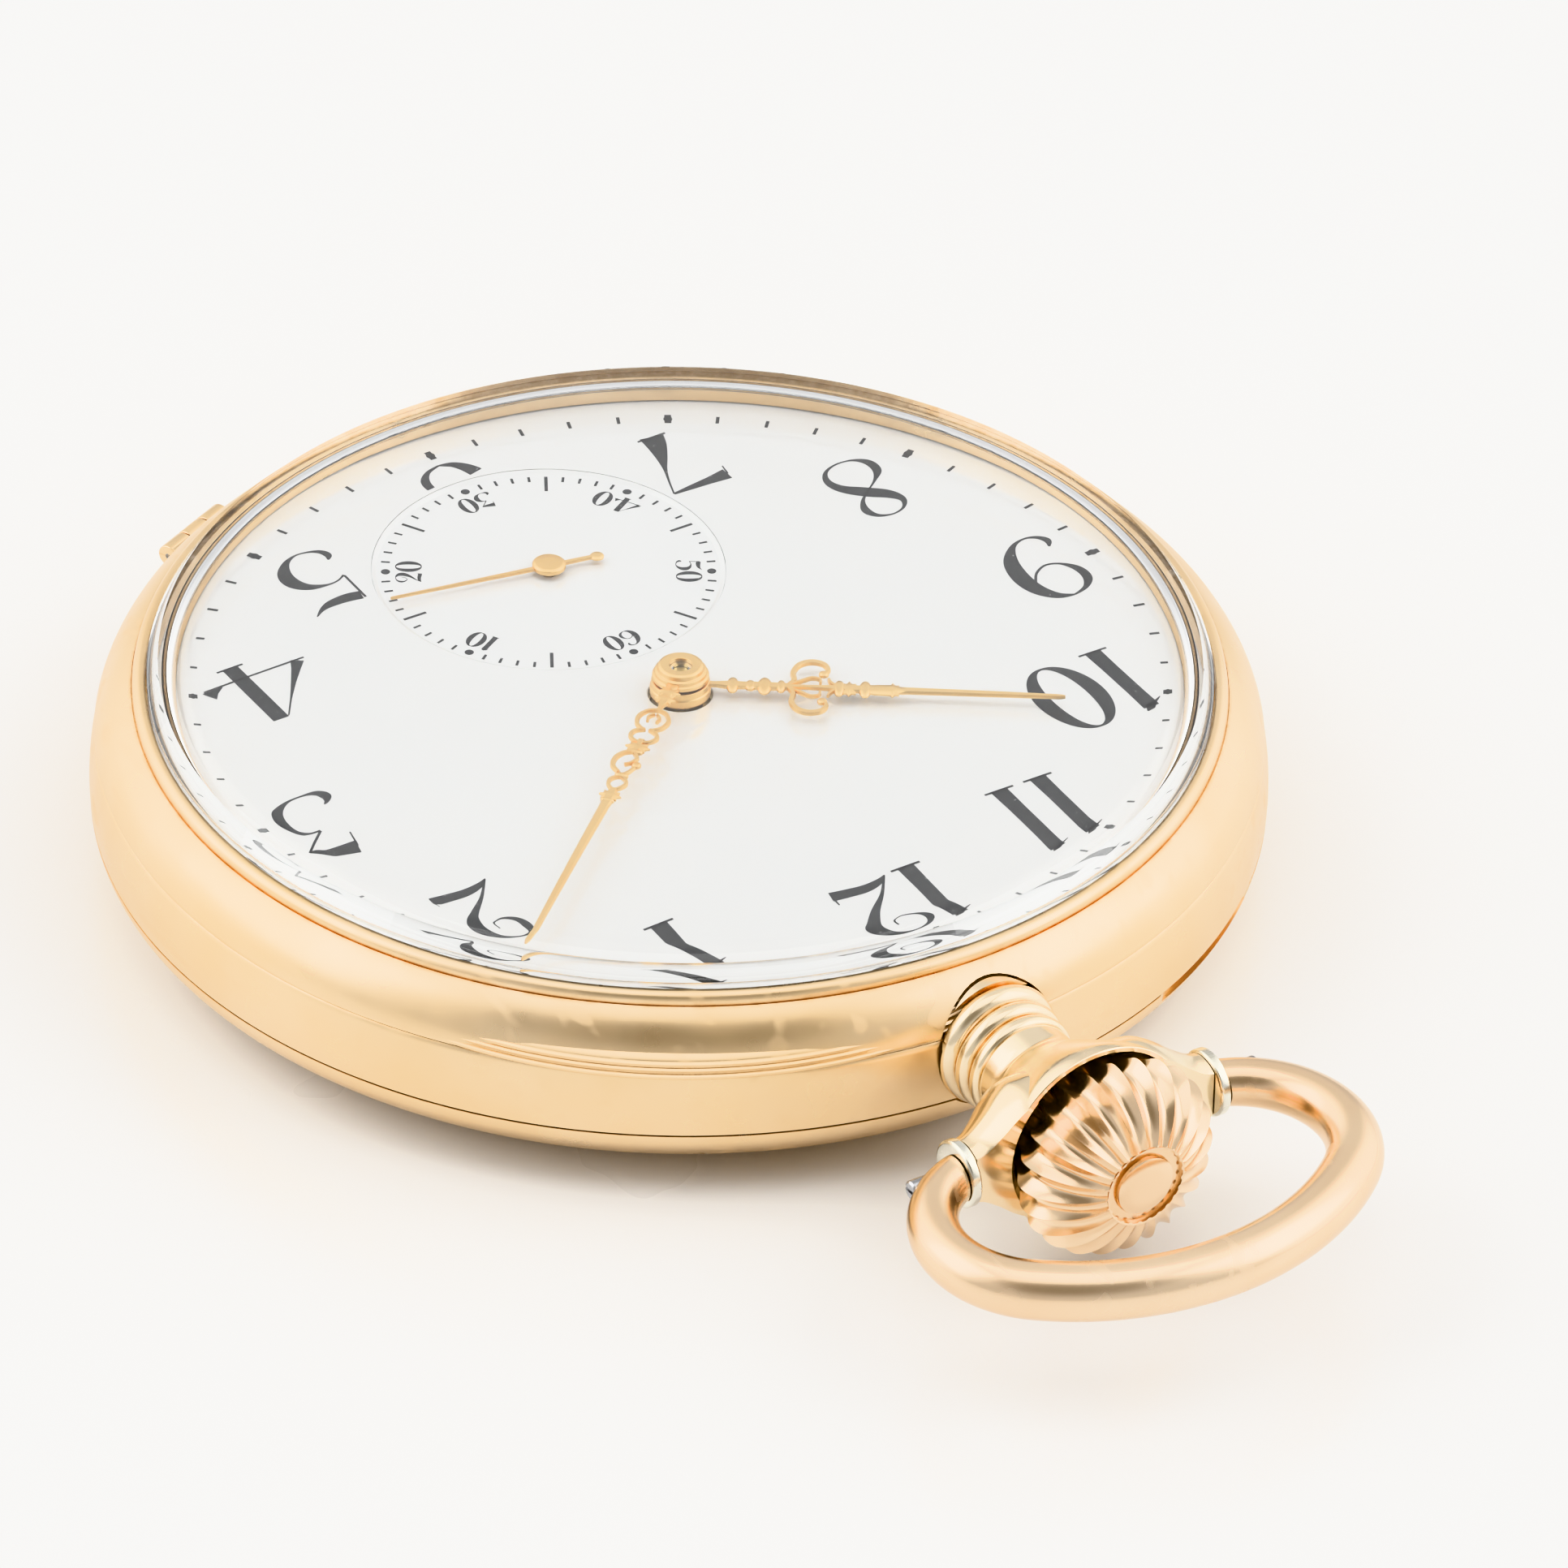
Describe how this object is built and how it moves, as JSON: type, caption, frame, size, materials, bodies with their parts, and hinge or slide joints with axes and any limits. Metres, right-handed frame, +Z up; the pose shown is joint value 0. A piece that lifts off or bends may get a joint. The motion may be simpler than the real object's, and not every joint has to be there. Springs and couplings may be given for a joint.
{
  "type": "open face pocket watch",
  "caption": "Stem-wound open face pocket watch with hinged bezel and back, domed crystal, sunk seconds dial, fluted crown and stirrup bow.",
  "frame": {"origin": "centre of the flat on the back cover that the watch rests on, on the case's axis", "axes": "+Z up out of the dial, +Y towards twelve o'clock, the crown and the bow, +X towards three o'clock"},
  "size_m": [0.05, 0.0682, 0.0102],
  "materials": {
    "gold": "polished",
    "rose_gold": "polished",
    "gilt": "satin gilt",
    "hand_gold": "satin",
    "nickel": "striped nickel",
    "steel": "polished",
    "blued_steel": "blued",
    "white_metal": "polished",
    "enamel": "fired enamel",
    "ruby": "polished",
    "crystal": "polished",
    "copper": "plain"
  },
  "bodies": {
    "case": {"case_middle": "gold", "bezel_hinge_pin": "gold", "back_hinge_pin": "gold", "cuvette": "gold", "pendant": "gold", "pendant_sleeve": "steel", "bow_collars": "white_metal", "bow_screws": "steel", "case_screws": "steel", "dial": "enamel", "dial_feet": "copper", "main_plate": "nickel", "barrel_bridge": "nickel", "train_bridge": "nickel", "balance_cock": "nickel", "pallet_cock": "nickel", "jewels": "ruby", "bridge_screws": "blued_steel"},
    "bezel": {"bezel": "gold", "crystal": "crystal"},
    "back": {"back_cover": "gold"},
    "bow": {"bow": "gold"},
    "winding": {"winding_pinion": "steel"},
    "clutch": {"clutch_wheel": "steel"},
    "crown": {"crown": "rose_gold", "crown_button": "rose_gold", "winding_stem": "steel"},
    "crown_wheel": {"crown_wheel": "steel", "crown_wheel_screw": "blued_steel"},
    "ratchet": {"ratchet_wheel": "steel", "ratchet_screw": "blued_steel", "barrel_arbor": "steel"},
    "click": {"click": "steel"},
    "barrel": {"barrel_drum": "gilt", "barrel_cover": "gilt", "mainspring": "steel"},
    "centre": {"centre_wheel": "gilt", "cannon_pinion": "steel", "minute_hand": "hand_gold"},
    "third": {"third_wheel": "gilt"},
    "fourth": {"fourth_wheel": "gilt", "seconds_hand": "hand_gold"},
    "escape": {"escape_wheel": "steel"},
    "pallets": {"pallet_fork": "steel", "pallet_stones": "ruby"},
    "balance": {"balance_wheel": "gilt", "balance_screws": "gilt", "balance_staff": "steel", "hairspring": "blued_steel"},
    "regulator": {"regulator": "steel"},
    "minute_wheel": {"minute_wheel": "gilt"},
    "hour": {"hour_wheel": "gilt", "hour_hand": "hand_gold"},
    "setting_wheel": {"setting_wheel": "steel"},
    "setting_lever": {"setting_lever": "steel"},
    "yoke": {"yoke": "steel"}
  },
  "joints": [
    {"name": "bezel_hinge", "type": "hinge", "parent": "case", "child": "bezel", "pos_m": [0.01062, -0.02277, 0.0062], "axis": [0.9063, 0.4226, 0], "range_deg": [0, 100]},
    {"name": "back_hinge", "type": "hinge", "parent": "case", "child": "back", "pos_m": [0.01062, -0.02277, 0.0032], "axis": [-0.9063, -0.4226, 0], "range_deg": [0, 95]},
    {"name": "bow_pivot", "type": "hinge", "parent": "case", "child": "bow", "pos_m": [0, 0.03137, 0.00525], "axis": [1, 0, 0], "range_deg": [-85, 85]},
    {"name": "winding", "type": "hinge", "parent": "case", "child": "winding", "pos_m": [0, 0.01872, 0.00525], "axis": [0, 1, 0], "continuous": true},
    {"name": "clutch_slide", "type": "slide", "parent": "winding", "child": "clutch", "axis": [0, 1, 0], "range_m": [-0.00035, 0]},
    {"name": "crown_pull", "type": "slide", "parent": "winding", "child": "crown", "axis": [0, 1, 0], "range_m": [0, 0.0008]},
    {"name": "crown_wheel_spin", "type": "hinge", "parent": "case", "child": "crown_wheel", "pos_m": [0, 0.0163, 0.0015], "axis": [0, 0, 1], "continuous": true},
    {"name": "ratchet_spin", "type": "hinge", "parent": "case", "child": "ratchet", "pos_m": [0.0064, 0.00742, 0.0015], "axis": [0, 0, 1], "continuous": true},
    {"name": "click_pivot", "type": "hinge", "parent": "case", "child": "click", "pos_m": [0.01487, 0.00891, 0.0015], "axis": [0, 0, -1], "range_deg": [0, 10], "stiffness_Nm_per_rad": 0.00002},
    {"name": "barrel_spin", "type": "hinge", "parent": "case", "child": "barrel", "pos_m": [0.0064, 0.00742, 0.0036], "axis": [0, 0, -1], "continuous": true},
    {"name": "centre_spin", "type": "hinge", "parent": "case", "child": "centre", "pos_m": [0, 0, 0.005], "axis": [0, 0, -1], "continuous": true},
    {"name": "third_spin", "type": "hinge", "parent": "case", "child": "third", "pos_m": [0.00477, -0.00654, 0.0042], "axis": [0, 0, -1], "continuous": true},
    {"name": "seconds", "type": "hinge", "parent": "case", "child": "fourth", "pos_m": [0, -0.01077, 0.004], "axis": [0, 0, -1], "continuous": true},
    {"name": "escape_spin", "type": "hinge", "parent": "case", "child": "escape", "pos_m": [-0.00521, -0.00937, 0.0042], "axis": [0, 0, -1], "continuous": true},
    {"name": "pallet_pivot", "type": "hinge", "parent": "case", "child": "pallets", "pos_m": [-0.00727, -0.00674, 0.0043], "axis": [0, 0, 1], "range_deg": [-5, 5]},
    {"name": "balance_swing", "type": "hinge", "parent": "case", "child": "balance", "pos_m": [-0.0101, -0.00311, 0.0034], "axis": [0, 0, 1], "range_deg": [-270, 270], "stiffness_Nm_per_rad": 0.0000013},
    {"name": "regulator_turn", "type": "hinge", "parent": "case", "child": "regulator", "pos_m": [-0.0101, -0.00311, 0.0016], "axis": [0, 0, 1], "range_deg": [-20, 20]},
    {"name": "minute_wheel_spin", "type": "hinge", "parent": "case", "child": "minute_wheel", "pos_m": [-0.00124, 0.00464, 0.0059], "axis": [0, 0, -1], "continuous": true},
    {"name": "hour_spin", "type": "hinge", "parent": "case", "child": "hour", "pos_m": [0, 0, 0.0064], "axis": [0, 0, -1], "continuous": true},
    {"name": "setting_wheel_spin", "type": "hinge", "parent": "case", "child": "setting_wheel", "pos_m": [-0.00068, 0.01001, 0.0059], "axis": [0, 0, -1], "continuous": true},
    {"name": "setting_lever_pivot", "type": "hinge", "parent": "case", "child": "setting_lever", "pos_m": [-0.0034, 0.0189, 0.0061], "axis": [0, 0, 1], "range_deg": [0, 13.4]},
    {"name": "yoke_pivot", "type": "hinge", "parent": "case", "child": "yoke", "pos_m": [-0.0046, 0.0156, 0.0059], "axis": [0, 0, -1], "range_deg": [0, 5.1]}
  ],
  "couplings": [
    {"joint": "third_spin", "follows": "seconds", "ratio": -0.13333},
    {"joint": "centre_spin", "follows": "seconds", "ratio": 0.016667},
    {"joint": "barrel_spin", "follows": "seconds", "ratio": -0.0027778},
    {"joint": "escape_spin", "follows": "seconds", "ratio": -10},
    {"joint": "minute_wheel_spin", "follows": "seconds", "ratio": -0.0055556},
    {"joint": "hour_spin", "follows": "seconds", "ratio": 0.0013889},
    {"joint": "setting_wheel_spin", "follows": "seconds", "ratio": 0.011111},
    {"joint": "crown_wheel_spin", "follows": "winding", "ratio": 0.44444},
    {"joint": "ratchet_spin", "follows": "winding", "ratio": -0.26087},
    {"joint": "clutch_slide", "follows": "crown_pull", "ratio": -0.4375},
    {"joint": "setting_lever_pivot", "follows": "crown_pull", "rad_per_m": 288},
    {"joint": "yoke_pivot", "follows": "crown_pull", "rad_per_m": 109}
  ]
}
